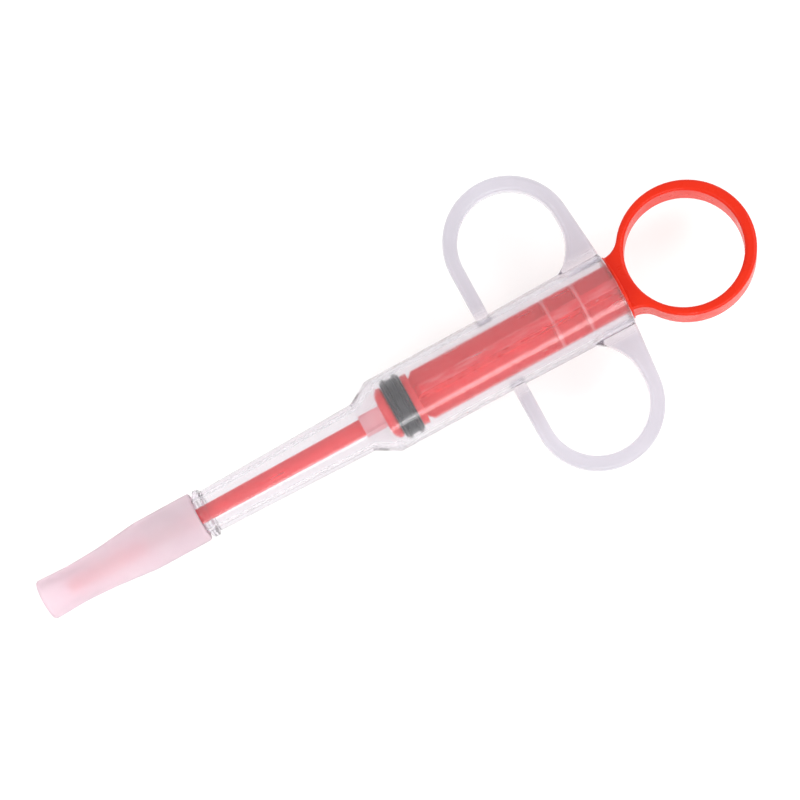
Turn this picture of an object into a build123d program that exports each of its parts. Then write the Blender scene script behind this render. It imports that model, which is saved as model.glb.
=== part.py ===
from build123d import *
from math import sqrt
import os

# Oral syringe of the pill-dispenser kind, lying along X with its tip towards -X.
# Sizes are in millimetres. Sizes along the axis are first counted from the mouth of
# the soft tip; place() then moves every piece to the part's frame, whose origin is
# below the middle of the syringe, on the surface that it lies on.

# ---- Soft tip ----
TIP_MOUTH_LENGTH = 14.3  # tube that holds the tablet
TIP_FLARE_LENGTH = 9.2  # cone between the tube and the socket
SOCKET_LENGTH = 12.6
TIP_MOUTH_D = 8.8
TIP_WAIST_D = 8.2
TIP_WAIST_FROM_MOUTH = 7.9
TIP_WALL = 1.25
TIP_LIP_ROUND = 0.8
TIP_POCKET_ROUND = 0.3
TIP_WAIST_ROUND = 30.0
FLARE_START_ROUND = 12.0
FLARE_END_ROUND = 14.0
SOCKET_WALL = 1.35
SOCKET_RIM_ROUND = 0.5
SOCKET_BORE_ROUND = 0.15

# ---- Nozzle ----
SPIGOT_D = 7.9  # stub that the soft tip is pushed over
SPIGOT_BORE_D = 5.7
SPIGOT_ROUND = 0.4
COLLAR_OVER_SPIGOT = 1.35  # least height of the collar above its neighbours
COLLAR_OVER_NOZZLE = 0.7
COLLAR_WIDTH = 1.7
COLLAR_ROUND = 0.6
COLLAR_FOOT_ROUND = 0.2
NOZZLE_FRONT_D = 9.2
NOZZLE_REAR_D = 10.8
NOZZLE_LENGTH = 35.6
NOZZLE_WALL = 1.5

# ---- Barrel tube ----
SHOULDER_LENGTH = 4.7
SHOULDER_FOOT_ROUND = 0.8
SHOULDER_CREST_ROUND = 1.4
TUBE_LENGTH = 54.3
BORE_D = 13.6
BORE_CREST_ROUND = 1.0
FRONT_WALL = 1.3  # straight stretch, from the shoulder to the finger loops
MOUTH_WALL = 1.65  # the outside flares from the loops to the mouth
MOUTH_ROUND = 0.3

# ---- Finger loops ----
LOOP_SPAN = 65.0  # over both loops
LOOP_HOLE_WIDTH = 21.5
LOOP_END_BAND = 3.2  # at the far end of each hole
LOOP_FRONT_STRUT = 2.9
LOOP_REAR_STRUT = 2.9
LOOP_REAR_INSET = 1.0  # from the tube's mouth to the widest point of the loop's back
LOOP_THICKNESS = 5.6
LOOP_WEB_RADIUS = 10.0
LOOP_HOLE_ROOT = 0.2  # how far the hole's flat root sits inside the tube's wall
LOOP_EDGE_ROUND = 1.1

# ---- Plunger ----
PLUNGER_TURN = -11.0  # degrees about the axis, as the plunger was left
ROD_TIP_INSET = 5.6  # depth of the tablet pocket with the plunger home
ROD_TIP_D = 3.1
ROD_ROOT_D = 3.7
ROD_TIP_ROUND = 0.5
ROOT_BLOCK_SIDE = 3.9
ROOT_BLOCK_LENGTH = 4.2
FRONT_DISC_WIDTH = 2.3
FRONT_DISC_ROUND = 0.7
GROOVE_WIDTH = 4.3
GROOVE_CORE_D = 6.4
REAR_DISC_WIDTH = 1.5
REAR_DISC_ROUND = 0.2
RIB_THICKNESS = 2.0
RIB_CHAMFER = 1.2  # at the ribs' front corners
WEB_THICKNESS = 1.0
WEB_ROUND = 0.2
WEB_FROM_BASE = (8.1, 15.0)  # to the middle of each round web
STOP_OVERLAP = 0.3  # how far the base flange reaches over the tube's rim
BASE_WIDTH = 0.6
BASE_ROUND = 0.2
RING_HOLE_D = 24.6
RING_HOLE_FROM_BASE = 3.45  # base flange's face to the hole's near edge
RING_BAND = 2.05  # at the ring's sides
RING_OUTER_FROM_HOLE = 0.5  # outer circle's centre past the hole's, which thickens the far end
RING_DEPTH = 6.8
RING_EDGE_ROUND = 0.7
NECK_ROUND = 5.0

# ---- Seal ----
SEAL_ROUND = 0.15
LIP_WIDTH = 0.5
LIP_ROOT_WIDTH = 1.1
LIP_INSET = 0.85  # from the seal's end to the middle of its lip

# ---- Clearances ----
SOCKET_CLEARANCE = 0.05  # radial, soft tip on spigot
SPIGOT_GAP = 1.0  # end of the spigot to the socket's floor
TIP_GAP = 0.5  # soft tip to collar
SEAL_CLEARANCE = 0.05  # seal to groove, and lips to bore, on each side
SEAL_BODY_CLEARANCE = 0.6  # radial, seal's body in the bore
DISC_CLEARANCE = 1.2  # radial, discs in the bore
SHAFT_CLEARANCE = 1.35  # radial, ribs in the bore
SHOULDER_CLEARANCE = 0.8  # front disc to the inside of the shoulder, along the axis
BASE_GAP = 0.05  # base flange to the tube's rim

# ---- Working allowances ----
CUT_OVERSHOOT = 1.0  # how far a cut runs past the end that it opens
ROUND_MARGIN = 0.01  # leaves a straight piece between two rounds that almost meet
ROUND_SHARE = 0.45  # most that an edge round takes of the thinnest wall beside it
FLANGE_SKIN = 0.1  # edges nearer than this to the base flange's face stay sharp

# ---- Places along the axis ----
SOCKET_X = TIP_MOUTH_LENGTH + TIP_FLARE_LENGTH
TIP_REAR_X = SOCKET_X + SOCKET_LENGTH
SPIGOT_X = SOCKET_X + SPIGOT_GAP
COLLAR_X = TIP_REAR_X + TIP_GAP
NOZZLE_X = COLLAR_X + COLLAR_WIDTH
SHOULDER_X = NOZZLE_X + NOZZLE_LENGTH
TUBE_X = SHOULDER_X + SHOULDER_LENGTH
MOUTH_X = TUBE_X + TUBE_LENGTH
LOOP_REAR_X = MOUTH_X - LOOP_REAR_INSET
LOOP_FRONT_X = LOOP_REAR_X - LOOP_REAR_STRUT - LOOP_HOLE_WIDTH - LOOP_FRONT_STRUT
BASE_X = MOUTH_X + BASE_GAP
RING_HOLE_X = BASE_X + RING_HOLE_FROM_BASE + RING_HOLE_D / 2
RING_OUTER_X = RING_HOLE_X + RING_OUTER_FROM_HOLE
RING_OUTER_R = RING_HOLE_D / 2 + RING_BAND
OVERALL_LENGTH = RING_OUTER_X + RING_OUTER_R

# ---- Radii that mating pieces share ----
BORE_R = BORE_D / 2
TUBE_R = BORE_R + FRONT_WALL
SPIGOT_R = SPIGOT_D / 2
SOCKET_R = SPIGOT_R + SOCKET_CLEARANCE
COLLAR_R = max(SPIGOT_R + COLLAR_OVER_SPIGOT, NOZZLE_FRONT_D / 2 + COLLAR_OVER_NOZZLE)
MOUTH_R = BORE_R + MOUTH_WALL
DISC_R = BORE_R - DISC_CLEARANCE
SHAFT_R = BORE_R - SHAFT_CLEARANCE
CORE_R = GROOVE_CORE_D / 2

# The bore narrows inside the shoulder with the same slope as the cone outside.
SHOULDER_SLOPE = (TUBE_R - NOZZLE_REAR_D / 2) / SHOULDER_LENGTH
NOZZLE_BORE_REAR_R = NOZZLE_REAR_D / 2 - NOZZLE_WALL
CONE_END_X = TUBE_X + FRONT_WALL
CONE_START_X = CONE_END_X - (BORE_R - NOZZLE_BORE_REAR_R) / SHOULDER_SLOPE

FRONT_DISC_X = CONE_END_X - (BORE_R - DISC_R) / SHOULDER_SLOPE + SHOULDER_CLEARANCE
GROOVE_X = FRONT_DISC_X + FRONT_DISC_WIDTH
REAR_DISC_X = GROOVE_X + GROOVE_WIDTH
SHAFT_X = REAR_DISC_X + REAR_DISC_WIDTH


def outline(*corners):
    """Closed face from (x, y, corner radius) corners."""
    points = [(x, y) for x, y, _ in corners]
    radii = [radius for _, _, radius in corners]
    return make_face(FilletPolyline(*points, radius=radii, close=True))


def turned(*corners):
    """Solid of revolution about the axis from (x, radius, corner radius) corners."""
    return revolve(outline(*corners), Axis.X)


def disc(x, width, radius, edge_round):
    """Round disc across the axis, with rounded rims."""
    return turned(
        (x, 0, 0),
        (x, radius, edge_round),
        (x + width, radius, edge_round),
        (x + width, 0, 0),
    )


def soft_tip():
    """Tapered sleeve: tablet tube, flare, and a socket over the spigot."""
    mouth_r = TIP_MOUTH_D / 2
    waist_r = TIP_WAIST_D / 2
    socket_outer_r = SOCKET_R + SOCKET_WALL
    pocket_r = mouth_r - TIP_WALL
    return turned(
        (0, pocket_r, TIP_POCKET_ROUND),
        (0, mouth_r, TIP_LIP_ROUND),
        (TIP_WAIST_FROM_MOUTH, waist_r, TIP_WAIST_ROUND),
        (TIP_MOUTH_LENGTH, mouth_r, FLARE_START_ROUND),
        (SOCKET_X, socket_outer_r, FLARE_END_ROUND),
        (TIP_REAR_X, socket_outer_r, SOCKET_RIM_ROUND),
        (TIP_REAR_X, SOCKET_R, SOCKET_BORE_ROUND),
        (SOCKET_X, SOCKET_R, 0),
        (SOCKET_X, pocket_r, 0),
    )


def barrel_outside():
    """Solid of the spigot, collar, nozzle, shoulder and tube, without the bore."""
    return turned(
        (SPIGOT_X, 0, 0),
        (SPIGOT_X, SPIGOT_R, SPIGOT_ROUND),
        (COLLAR_X, SPIGOT_R, 0),
        (COLLAR_X, COLLAR_R, COLLAR_ROUND),
        (NOZZLE_X, COLLAR_R, COLLAR_ROUND),
        (NOZZLE_X, NOZZLE_FRONT_D / 2, COLLAR_FOOT_ROUND),
        (SHOULDER_X, NOZZLE_REAR_D / 2, SHOULDER_FOOT_ROUND),
        (TUBE_X, TUBE_R, SHOULDER_CREST_ROUND),
        (LOOP_FRONT_X, TUBE_R, 0),
        (MOUTH_X, MOUTH_R, MOUTH_ROUND),
        (MOUTH_X, 0, 0),
    )


def barrel_bore():
    """Everything that is hollow along the barrel's axis."""
    front_x = SPIGOT_X - CUT_OVERSHOOT
    rear_x = MOUTH_X + CUT_OVERSHOOT
    return turned(
        (front_x, 0, 0),
        (front_x, SPIGOT_BORE_D / 2, 0),
        (SPIGOT_X, SPIGOT_BORE_D / 2, 0),
        (CONE_START_X, NOZZLE_BORE_REAR_R, SHOULDER_FOOT_ROUND),
        (CONE_END_X, BORE_R, BORE_CREST_ROUND),
        (rear_x, BORE_R, 0),
        (rear_x, 0, 0),
    )


def finger_loop(side):
    """Flat outline of one loop, side +1 or -1, from the axis outwards."""
    outer_r = (LOOP_REAR_X - LOOP_FRONT_X) / 2
    outer_y = LOOP_SPAN / 2 - outer_r
    rim = Pos((LOOP_FRONT_X + LOOP_REAR_X) / 2, side * outer_y) * Circle(outer_r)
    root_length = MOUTH_X - LOOP_FRONT_X
    root = Pos(MOUTH_X - root_length / 2, side * MOUTH_R / 2) * Rectangle(root_length, MOUTH_R)
    plate = make_hull(rim.edges() + root.edges())

    hole_front_x = LOOP_FRONT_X + LOOP_FRONT_STRUT
    hole_rear_x = LOOP_REAR_X - LOOP_REAR_STRUT
    hole_root_y = BORE_R + LOOP_HOLE_ROOT
    hole_end_y = LOOP_SPAN / 2 - LOOP_END_BAND
    end_round = LOOP_HOLE_WIDTH / 2 - ROUND_MARGIN
    hole = outline(
        (hole_front_x, side * hole_root_y, 0),
        (hole_front_x, side * hole_end_y, end_round),
        (hole_rear_x, side * hole_end_y, end_round),
        (hole_rear_x, side * hole_root_y, LOOP_WEB_RADIUS),
    )
    return plate - hole


def barrel():
    """Tube with nozzle and both finger loops, one moulding."""
    flat = finger_loop(1) + finger_loop(-1)
    plate = extrude(flat, LOOP_THICKNESS / 2, both=True)
    faces = plate.faces().filter_by(Axis.Z)
    thinnest = min(LOOP_FRONT_STRUT, LOOP_REAR_STRUT, LOOP_THICKNESS)
    plate = fillet(faces.edges(), min(LOOP_EDGE_ROUND, ROUND_SHARE * thinnest))
    return barrel_outside() + plate - barrel_bore()


def shaft():
    """Cruciform shaft with chamfered front corners and its round webs."""
    length = BASE_X - SHAFT_X
    envelope = turned(
        (SHAFT_X, 0, 0),
        (SHAFT_X, SHAFT_R - RIB_CHAMFER, 0),
        (SHAFT_X + RIB_CHAMFER, SHAFT_R, 0),
        (BASE_X, SHAFT_R, 0),
        (BASE_X, 0, 0),
    )
    middle = Pos(SHAFT_X + length / 2, 0, 0)
    upright = middle * Box(length, RIB_THICKNESS, 2 * SHAFT_R)
    level = middle * Box(length, 2 * SHAFT_R, RIB_THICKNESS)
    ribs = (upright + level) & envelope
    for from_base in WEB_FROM_BASE:
        web_x = BASE_X - from_base - WEB_THICKNESS / 2
        ribs += disc(web_x, WEB_THICKNESS, SHAFT_R, WEB_ROUND)
    return ribs


def thumb_ring():
    """Ring, neck and round base flange."""
    base_r = BORE_R + STOP_OVERLAP
    neck_half = sqrt(base_r**2 - (RING_DEPTH / 2) ** 2)
    neck_end_x = RING_OUTER_X - RING_OUTER_R / 2
    neck_length = neck_end_x - BASE_X
    neck = Pos(BASE_X + neck_length / 2, 0) * Rectangle(neck_length, 2 * neck_half)
    rim = Pos(RING_OUTER_X, 0) * Circle(RING_OUTER_R)
    flat = rim + neck
    joins = [v for v in flat.vertices() if BASE_X + FLANGE_SKIN < v.X < neck_end_x]
    flat = fillet(joins, NECK_ROUND)
    flat -= Pos(RING_HOLE_X, 0) * Circle(RING_HOLE_D / 2)
    plate = extrude(flat, RING_DEPTH / 2, both=True)
    thinnest = RING_BAND - RING_OUTER_FROM_HOLE
    edges = plate.faces().filter_by(Axis.Z).edges()
    edges = [e for e in edges if e.center().X > BASE_X + FLANGE_SKIN]
    plate = fillet(edges, min(RING_EDGE_ROUND, ROUND_SHARE * thinnest))
    return plate + disc(BASE_X, BASE_WIDTH, base_r, BASE_ROUND)


def plunger():
    """Push rod, discs, shaft and thumb ring, one moulding."""
    block_x = FRONT_DISC_X - ROOT_BLOCK_LENGTH
    rod = turned(
        (ROD_TIP_INSET, 0, 0),
        (ROD_TIP_INSET, ROD_TIP_D / 2, ROD_TIP_ROUND),
        (block_x, ROD_ROOT_D / 2, 0),
        (block_x, 0, 0),
    )
    block = Pos(block_x + ROOT_BLOCK_LENGTH / 2, 0, 0) * Box(
        ROOT_BLOCK_LENGTH, ROOT_BLOCK_SIDE, ROOT_BLOCK_SIDE
    )
    body = rod + block
    body += disc(FRONT_DISC_X, FRONT_DISC_WIDTH, DISC_R, FRONT_DISC_ROUND)
    body += disc(GROOVE_X, GROOVE_WIDTH, CORE_R, 0)
    body += disc(REAR_DISC_X, REAR_DISC_WIDTH, DISC_R, REAR_DISC_ROUND)
    body += shaft()
    body += thumb_ring()
    return Rot(PLUNGER_TURN, 0, 0) * body


def plunger_seal():
    """Rubber ring in the groove, with a lip near each end that wipes the bore."""
    start = GROOVE_X + SEAL_CLEARANCE
    end = REAR_DISC_X - SEAL_CLEARANCE
    inner_r = CORE_R + SEAL_CLEARANCE
    body_r = BORE_R - SEAL_BODY_CLEARANCE
    lip_r = BORE_R - SEAL_CLEARANCE
    corners = [(start, inner_r, 0), (start, body_r, SEAL_ROUND)]
    for middle in (start + LIP_INSET, end - LIP_INSET):
        corners += [
            (middle - LIP_ROOT_WIDTH / 2, body_r, 0),
            (middle - LIP_WIDTH / 2, lip_r, 0),
            (middle + LIP_WIDTH / 2, lip_r, 0),
            (middle + LIP_ROOT_WIDTH / 2, body_r, 0),
        ]
    corners += [(end, body_r, SEAL_ROUND), (end, inner_r, 0)]
    return turned(*corners)


def place(piece):
    """Moves a piece from the axis frame to the part's frame."""
    return Pos(-OVERALL_LENGTH / 2, 0, MOUTH_R) * piece


PIECES = {
    "barrel": barrel,
    "soft_tip": soft_tip,
    "plunger": plunger,
    "plunger_seal": plunger_seal,
}

os.makedirs("parts", exist_ok=True)
for name, build in PIECES.items():
    export_step(place(build()), f"parts/{name}.step")
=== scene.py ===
from math import cos, radians, sin

import bpy
from mathutils import Matrix, Vector


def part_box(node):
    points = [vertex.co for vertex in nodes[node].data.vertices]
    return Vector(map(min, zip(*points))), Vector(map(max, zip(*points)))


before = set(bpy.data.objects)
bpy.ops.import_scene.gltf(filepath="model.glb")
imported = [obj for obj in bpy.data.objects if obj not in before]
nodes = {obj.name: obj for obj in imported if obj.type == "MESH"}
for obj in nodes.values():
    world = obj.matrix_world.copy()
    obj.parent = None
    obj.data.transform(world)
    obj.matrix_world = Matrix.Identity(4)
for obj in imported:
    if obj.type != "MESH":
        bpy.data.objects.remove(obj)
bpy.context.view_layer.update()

# Oral syringe of the pill-dispenser kind, as packed: clear barrel with finger loops,
# frosted soft tip, red plunger and black seal. Every piece is a CAD node that keeps its
# mesh, so this script adds its materials, the floor, the lights and the camera.
# Lengths are in metres, unless a name says MM.

barrel_low, barrel_high = (Vector(corner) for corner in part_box("barrel"))
AXIS_HEIGHT = (barrel_low.z + barrel_high.z) / 2

# Where the barrel's cone runs along X, and the middle of its wall before and after it.
seal_low, seal_high = (Vector(corner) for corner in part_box("plunger_seal"))
SEAL_RADIUS = (seal_high.y - seal_low.y) / 2
SHOULDER_TO_SEAL = 0.0024
SHOULDER_LENGTH = 0.0047
SHOULDER_REAR = seal_low.x - SHOULDER_TO_SEAL
SHOULDER_FRONT = SHOULDER_REAR - SHOULDER_LENGTH
NOZZLE_MID_WALL = 0.0042
TUBE_MID_WALL = 0.0074

# Where the loops leave the tube, as sideways distance from the axis.
LOOPS_FROM = 0.0080
LOOPS_FULL = 0.0105

# Where the rod's square root block and the base flange are along X.
BLOCK_TO_SEAL = 0.00235
BLOCK_LENGTH = 0.0042
BLOCK_END = seal_low.x - BLOCK_TO_SEAL
BLOCK_START = BLOCK_END - BLOCK_LENGTH
BASE_FLANGE = barrel_high.x

# The floor lies low enough for the thumb ring to turn about the axis.
plunger_low, plunger_high = (Vector(corner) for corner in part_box("plunger"))
FLOOR_CLEARANCE = 0.0003
RING_SWEEP = (plunger_high.y - plunger_low.y) / 2 + FLOOR_CLEARANCE
FLOOR_HEIGHT = AXIS_HEIGHT - RING_SWEEP

# The shaft that runs in the bore, and the middles of its two round webs.
SEAL_TO_SHAFT = 0.0016
SHAFT_START = seal_high.x + SEAL_TO_SHAFT
SHAFT_RADIUS = 0.00545
FRONT_WEB_TO_BASE = 0.0150
REAR_WEB_TO_BASE = 0.0081
WEBS = (BASE_FLANGE - FRONT_WEB_TO_BASE, BASE_FLANGE - REAR_WEB_TO_BASE)

# Lengths over which one tint or finish runs into the next.
SEAM = 0.0002
SHARP_SEAM = 0.0001

# Bands for the marks: half of a web's thickness (its rim gets a painted highlight), the ribs'
# outer edges (scuffs, and that painted highlight), and the seal's lips (polished).
WEB_HIGHLIGHT_FULL = 0.0001
WEB_HIGHLIGHT_END = 0.0004
RIB_EDGE_START = SHAFT_RADIUS - 0.0005
RIB_EDGE_FULL = SHAFT_RADIUS - 0.0001
LIP_START = SEAL_RADIUS - 0.0003

# Each tint varies between two colours.
TUBE_TINTS = ((0.965, 0.96, 0.975), (0.99, 0.985, 1.0))
LOOP_TINTS = ((0.76, 0.75, 0.80), (0.81, 0.80, 0.85))
TIP_TINTS = ((0.93, 0.77, 0.84), (0.96, 0.82, 0.88))
RING_TINTS = ((0.68, 0.016, 0.002), (0.76, 0.026, 0.004))
# The shaft's tints are painted brighter and pinker than the ring's, though both are one red
# plastic: painted light and painted milky sheen of the barrel.
SHAFT_SHEEN_TINTS = ((0.94, 0.030, 0.040), (1.0, 0.042, 0.055))
# The block's pale tints are a painted highlight.
BLOCK_HIGHLIGHT_TINTS = ((0.95, 0.38, 0.42), (1.0, 0.45, 0.48))
# The scuff tints also paint the highlight on the webs' rims.
SCUFF_AND_HIGHLIGHT_TINTS = ((0.95, 0.55, 0.56), (1.0, 0.62, 0.62))
RUBBER_TINTS = ((0.006, 0.006, 0.011), (0.016, 0.016, 0.026))


# ---- Material building blocks ----

def new_material(name):
    """A new material, its node tree and its Principled shader."""
    material = bpy.data.materials.new(name)
    material.use_nodes = True
    tree = material.node_tree
    shader = tree.nodes["Principled BSDF"]
    return material, tree, shader


def noise(tree, scale, detail=3.0, stretch=(1, 1, 1)):
    """Noise over the piece's own coordinates, in lumps of about 1/scale metres."""
    place = tree.nodes.new("ShaderNodeTexCoord")
    mapping = tree.nodes.new("ShaderNodeMapping")
    mapping.inputs["Scale"].default_value = stretch
    texture = tree.nodes.new("ShaderNodeTexNoise")
    texture.inputs["Scale"].default_value = scale
    texture.inputs["Detail"].default_value = detail
    tree.links.new(place.outputs["Object"], mapping.inputs["Vector"])
    tree.links.new(mapping.outputs["Vector"], texture.inputs["Vector"])
    return texture.outputs["Fac"]


def spread(tree, value, low, high, start=0.3, end=0.7):
    """Maps a noise value onto a range of numbers."""
    remap = tree.nodes.new("ShaderNodeMapRange")
    remap.inputs["From Min"].default_value = start
    remap.inputs["From Max"].default_value = end
    remap.inputs["To Min"].default_value = low
    remap.inputs["To Max"].default_value = high
    tree.links.new(value, remap.inputs["Value"])
    return remap.outputs["Result"]


def blend_colours(tree, value, first, second):
    """Runs from one colour to another with a value from 0 to 1."""
    mix = tree.nodes.new("ShaderNodeMix")
    mix.data_type = "RGBA"
    mix.inputs["A"].default_value = (*first, 1)
    mix.inputs["B"].default_value = (*second, 1)
    tree.links.new(value, mix.inputs["Factor"])
    return mix.outputs["Result"]


def mix_colours(tree, value, first, second):
    """Runs from one colour socket to another with a value from 0 to 1."""
    mix = tree.nodes.new("ShaderNodeMix")
    mix.data_type = "RGBA"
    tree.links.new(value, mix.inputs["Factor"])
    tree.links.new(first, mix.inputs["A"])
    tree.links.new(second, mix.inputs["B"])
    return mix.outputs["Result"]


def bumps(tree, shader, *layers):
    """Stacks bump layers of (height, distance in metres, strength) on the shader."""
    normal = None
    for height, distance, strength in layers:
        bump = tree.nodes.new("ShaderNodeBump")
        bump.inputs["Distance"].default_value = distance
        bump.inputs["Strength"].default_value = strength
        tree.links.new(height, bump.inputs["Height"])
        if normal:
            tree.links.new(normal, bump.inputs["Normal"])
        normal = bump.outputs["Normal"]
    tree.links.new(normal, shader.inputs["Normal"])


def calculate(tree, operation, *values):
    """One Math node over sockets or plain numbers."""
    node = tree.nodes.new("ShaderNodeMath")
    node.operation = operation
    for socket, value in zip(node.inputs, values):
        if isinstance(value, (int, float)):
            socket.default_value = value
        else:
            tree.links.new(value, socket)
    return node.outputs["Value"]


def piece_place(tree):
    """X, distance from the axis and sideways reach of a point of a resting piece."""
    place = tree.nodes.new("ShaderNodeTexCoord")
    split = tree.nodes.new("ShaderNodeSeparateXYZ")
    tree.links.new(place.outputs["Object"], split.inputs["Vector"])
    y = split.outputs["Y"]
    z = calculate(tree, "SUBTRACT", split.outputs["Z"], AXIS_HEIGHT)
    squares = (calculate(tree, "MULTIPLY", side, side) for side in (y, z))
    radius = calculate(tree, "SQRT", calculate(tree, "ADD", *squares))
    return split.outputs["X"], radius, calculate(tree, "ABSOLUTE", y)


def absorb(tree, colour, density):
    """Plain absorption inside a see-through piece."""
    volume = tree.nodes.new("ShaderNodeVolumeAbsorption")
    volume.inputs["Color"].default_value = (*colour, 1)
    volume.inputs["Density"].default_value = density
    output = tree.nodes["Material Output"]
    tree.links.new(volume.outputs["Volume"], output.inputs["Volume"])


def wear(node, material):
    """Gives a CAD node its material."""
    for slot in nodes[node].material_slots:
        slot.material = material


# ---- Materials ----

def milky_polypropylene():
    """Natural polypropylene: the tube's thin wall is clear, the loops' thick bars are milky."""
    material, tree, shader = new_material("milky_polypropylene")
    shader.inputs["IOR"].default_value = 1.22
    shader.inputs["Coat Weight"].default_value = 0.5
    shader.inputs["Coat Roughness"].default_value = 0.06
    shader.inputs["Transmission Weight"].default_value = 0.955
    absorb(tree, (0.60, 0.53, 0.62), 80)
    x, radius, reach = piece_place(tree)
    cloud = noise(tree, 90, 4)
    flow = noise(tree, 60, 3, stretch=(0.25, 1, 1))
    loops = spread(tree, reach, 0, 1, LOOPS_FROM, LOOPS_FULL)

    shade = spread(tree, cloud, 0, 1)
    tube = blend_colours(tree, shade, *TUBE_TINTS)
    loop = blend_colours(tree, shade, *LOOP_TINTS)
    tree.links.new(mix_colours(tree, loops, tube, loop), shader.inputs["Base Color"])

    # The mould's core leaves the bore matt; the outside of the tube is polished.
    mid_wall = spread(tree, x, NOZZLE_MID_WALL, TUBE_MID_WALL, SHOULDER_FRONT, SHOULDER_REAR)
    bore = spread(tree, calculate(tree, "SUBTRACT", mid_wall, radius), 0, 1, -SEAM, SEAM)
    matt = calculate(tree, "MULTIPLY", bore, 0.06)
    rough = calculate(tree, "ADD", spread(tree, flow, 0.14, 0.19), matt)
    rough = calculate(tree, "ADD", rough, calculate(tree, "MULTIPLY", loops, 0.15))

    # Faint lengthwise rubbing marks from drawers and hands.
    rubs = noise(tree, 900, 5, stretch=(0.1, 1, 1))
    rough = calculate(tree, "ADD", rough, spread(tree, rubs, 0, 0.06, 0.5, 0.75))
    tree.links.new(rough, shader.inputs["Roughness"])

    # The loops are slightly wavy where the mould fills last; the tube stays smooth.
    bumps(tree, shader, (calculate(tree, "MULTIPLY", flow, loops), 0.0002, 0.3))
    return material


def frosted_elastomer():
    """Soft frosted tip: light goes through it but hardly any shape does."""
    material, tree, shader = new_material("frosted_elastomer")
    shader.inputs["IOR"].default_value = 1.42
    shader.inputs["Transmission Weight"].default_value = 0.60
    cloud = noise(tree, 160, 4)
    tint = blend_colours(tree, spread(tree, cloud, 0, 1), *TIP_TINTS)
    tree.links.new(tint, shader.inputs["Base Color"])
    tree.links.new(spread(tree, cloud, 0.52, 0.62), shader.inputs["Roughness"])
    bumps(tree, shader, (noise(tree, 3500, 3), 0.00002, 0.3))
    return material


def red_plastic():
    """Glossy moulded red plastic with faint flow marks and handling scuffs; a painted sheen on
    the shaft and painted highlights on the webs' rims and the root block.
    """
    material, tree, shader = new_material("red_plastic")
    shader.inputs["IOR"].default_value = 1.49
    shader.inputs["Specular IOR Level"].default_value = 0.22
    flow = noise(tree, 120, 4, stretch=(0.3, 1, 1))
    x, radius, _ = piece_place(tree)
    shade = spread(tree, flow, 0, 1)
    ring = blend_colours(tree, shade, *RING_TINTS)
    # The shaft in the bore is painted brighter and pinker than the ring: painted light and
    # painted sheen.
    shaft = blend_colours(tree, shade, *SHAFT_SHEEN_TINTS)
    block = blend_colours(tree, shade, *BLOCK_HIGHLIGHT_TINTS)
    outside = spread(tree, x, 0, 1, BASE_FLANGE - SEAM, BASE_FLANGE)
    whole = mix_colours(tree, outside, shaft, ring)

    # The rod's square root block is painted paler than the rest: a painted highlight.
    after = spread(tree, x, 0, 1, BLOCK_START - SEAM, BLOCK_START)
    before = spread(tree, x, 1, 0, BLOCK_END, BLOCK_END + SEAM)
    whole = mix_colours(tree, calculate(tree, "MULTIPLY", after, before), whole, block)

    # The webs' rims get a painted highlight, pale as if catching the light; the ribs' edges rub
    # along the bore and are scuffed pale.
    web = 0
    for middle in WEBS:
        off = calculate(tree, "ABSOLUTE", calculate(tree, "SUBTRACT", x, middle))
        rim = spread(tree, off, 1, 0, WEB_HIGHLIGHT_FULL, WEB_HIGHLIGHT_END)
        web = calculate(tree, "ADD", web, rim)
    edge = spread(tree, radius, 0, 1, RIB_EDGE_START, RIB_EDGE_FULL)
    scuffs = spread(tree, noise(tree, 1500, 5, stretch=(0.12, 1, 1)), 0.0, 0.25, 0.45, 0.7)
    web_highlight = calculate(tree, "MULTIPLY", web, spread(tree, noise(tree, 500, 3), 0.15, 0.5))
    # pale holds real scuffs on the ribs' edges and the painted highlight on the webs' rims.
    pale = calculate(tree, "MULTIPLY", edge, calculate(tree, "MAXIMUM", web_highlight, scuffs))

    # Only the shaft gets the scuffs and the painted web highlights: not the discs before it nor
    # the ring behind it.
    inside = spread(tree, x, 1, 0, BASE_FLANGE - SEAM, BASE_FLANGE)
    behind_seal = spread(tree, x, 0, 1, SHAFT_START, SHAFT_START + SHARP_SEAM)
    on_shaft = calculate(tree, "MULTIPLY", inside, behind_seal)
    pale = calculate(tree, "MULTIPLY", pale, on_shaft)
    scuffed_and_highlit = blend_colours(tree, shade, *SCUFF_AND_HIGHLIGHT_TINTS)
    tree.links.new(mix_colours(tree, pale, whole, scuffed_and_highlit), shader.inputs["Base Color"])
    tree.links.new(spread(tree, noise(tree, 300, 6), 0.22, 0.38), shader.inputs["Roughness"])
    bumps(tree, shader, (flow, 0.00008, 0.3), (noise(tree, 2200, 2), 0.000012, 0.2))
    return material


def black_rubber():
    """Matt black rubber with a fine grain."""
    material, tree, shader = new_material("black_rubber")
    grain = noise(tree, 1800, 3)
    tint = blend_colours(tree, spread(tree, grain, 0, 1), *RUBBER_TINTS)
    tree.links.new(tint, shader.inputs["Base Color"])

    # The two lips are polished where they wipe the bore.
    _, radius, _ = piece_place(tree)
    lips = spread(tree, radius, 0, 0.15, LIP_START, SEAL_RADIUS)
    rough = calculate(tree, "SUBTRACT", spread(tree, grain, 0.38, 0.55), lips)
    tree.links.new(rough, shader.inputs["Roughness"])
    bumps(tree, shader, (grain, 0.00002, 0.3))
    return material


wear("barrel", milky_polypropylene())
wear("soft_tip", frosted_elastomer())
wear("plunger", red_plastic())
wear("plunger_seal", black_rubber())


# ---- Floor ----

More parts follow.
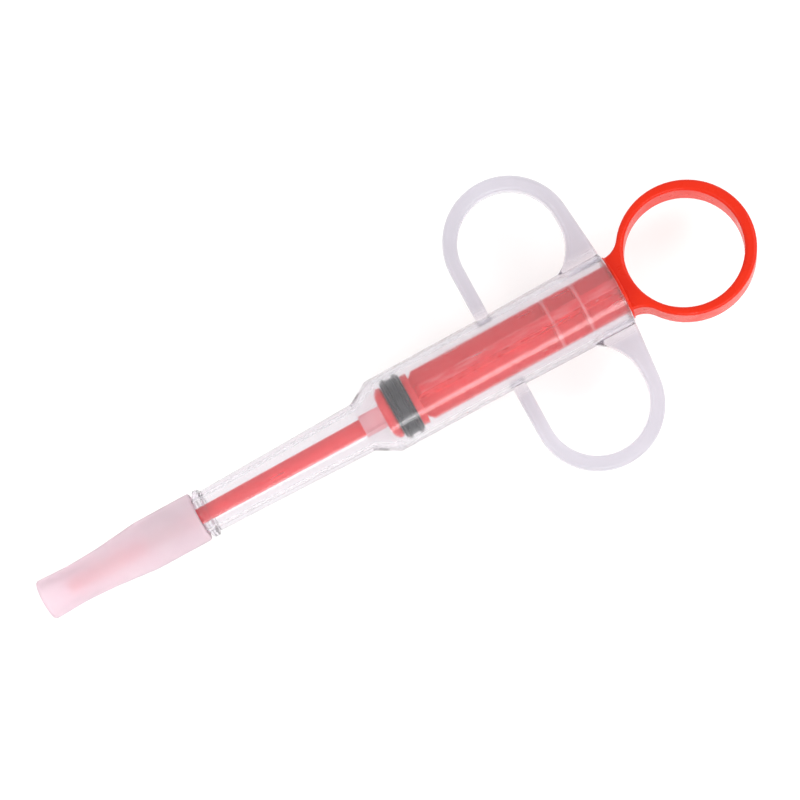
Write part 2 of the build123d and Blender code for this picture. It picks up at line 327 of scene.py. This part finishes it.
def pale_floor():
    """Plain pale floor under the syringe."""
    bpy.ops.mesh.primitive_plane_add(size=4, location=(0, 0, FLOOR_HEIGHT))
    floor = bpy.context.object
    floor.name = "floor"
    material, tree, shader = new_material("pale_floor")
    shader.inputs["Base Color"].default_value = (0.60, 0.60, 0.60, 1)
    shader.inputs["Roughness"].default_value = 0.9
    shader.inputs["Specular IOR Level"].default_value = 0.1
    shader.inputs["Emission Color"].default_value = (1.0, 1.0, 0.99, 1)
    shader.inputs["Emission Strength"].default_value = 0.50
    floor.data.materials.append(material)


pale_floor()


# ---- Lights ----

def soft_light(name, place, length, width, power):
    """Rectangular area light that faces the syringe, its length level."""
    data = bpy.data.lights.new(name, "AREA")
    data.shape = "RECTANGLE"
    data.size = length
    data.size_y = width
    data.energy = power
    light = bpy.data.objects.new(name, data)
    light.location = place
    towards = Vector((0, 0, AXIS_HEIGHT)) - light.location
    light.rotation_euler = towards.to_track_quat("-Z", "Y").to_euler()
    bpy.context.collection.objects.link(light)


soft_light("side_light", (0.05, -0.75, 0.65), length=0.90, width=0.20, power=4.2)
soft_light("tip_end_light", (-0.80, 0.10, 0.75), length=0.8, width=0.8, power=3.1)
soft_light("ring_end_light", (0.80, 0.10, 0.75), length=0.8, width=0.8, power=3.1)

world = bpy.data.worlds.new("studio")
world.use_nodes = True
background = world.node_tree.nodes["Background"]
background.inputs["Color"].default_value = (1.0, 1.0, 0.99, 1)
background.inputs["Strength"].default_value = 0.78
bpy.context.scene.world = world
bpy.context.scene.view_settings.view_transform = "Standard"


# ---- Camera ----

CAMERA_DISTANCE = 0.550
CAMERA_LEAN = radians(3.0)  # from straight above, towards -Y
PICTURE_TURN = radians(28.64)  # the syringe's axis above the picture's horizontal
TARGET = Vector((0.0015, 0.0013, AXIS_HEIGHT))
MM_PER_PIXEL = 0.2043
PICTURE_WIDTH = 800
SENSOR_MM = 36.0


def add_camera():
    """Camera above the syringe, turned so that the tip points to the lower left."""
    data = bpy.data.cameras.new("camera")
    data.sensor_width = SENSOR_MM
    data.lens = SENSOR_MM * CAMERA_DISTANCE * 1000 / (MM_PER_PIXEL * PICTURE_WIDTH)
    back = Vector((0, -sin(CAMERA_LEAN), cos(CAMERA_LEAN)))
    along = Vector((1, 0, 0))
    across = back.cross(along)
    right = along * cos(PICTURE_TURN) - across * sin(PICTURE_TURN)
    up = along * sin(PICTURE_TURN) + across * cos(PICTURE_TURN)
    place = TARGET + back * CAMERA_DISTANCE
    camera = bpy.data.objects.new("camera", data)
    camera.matrix_world = Matrix((
        (right.x, up.x, back.x, place.x),
        (right.y, up.y, back.y, place.y),
        (right.z, up.z, back.z, place.z),
        (0, 0, 0, 1),
    ))
    bpy.context.collection.objects.link(camera)
    bpy.context.scene.camera = camera


add_camera()
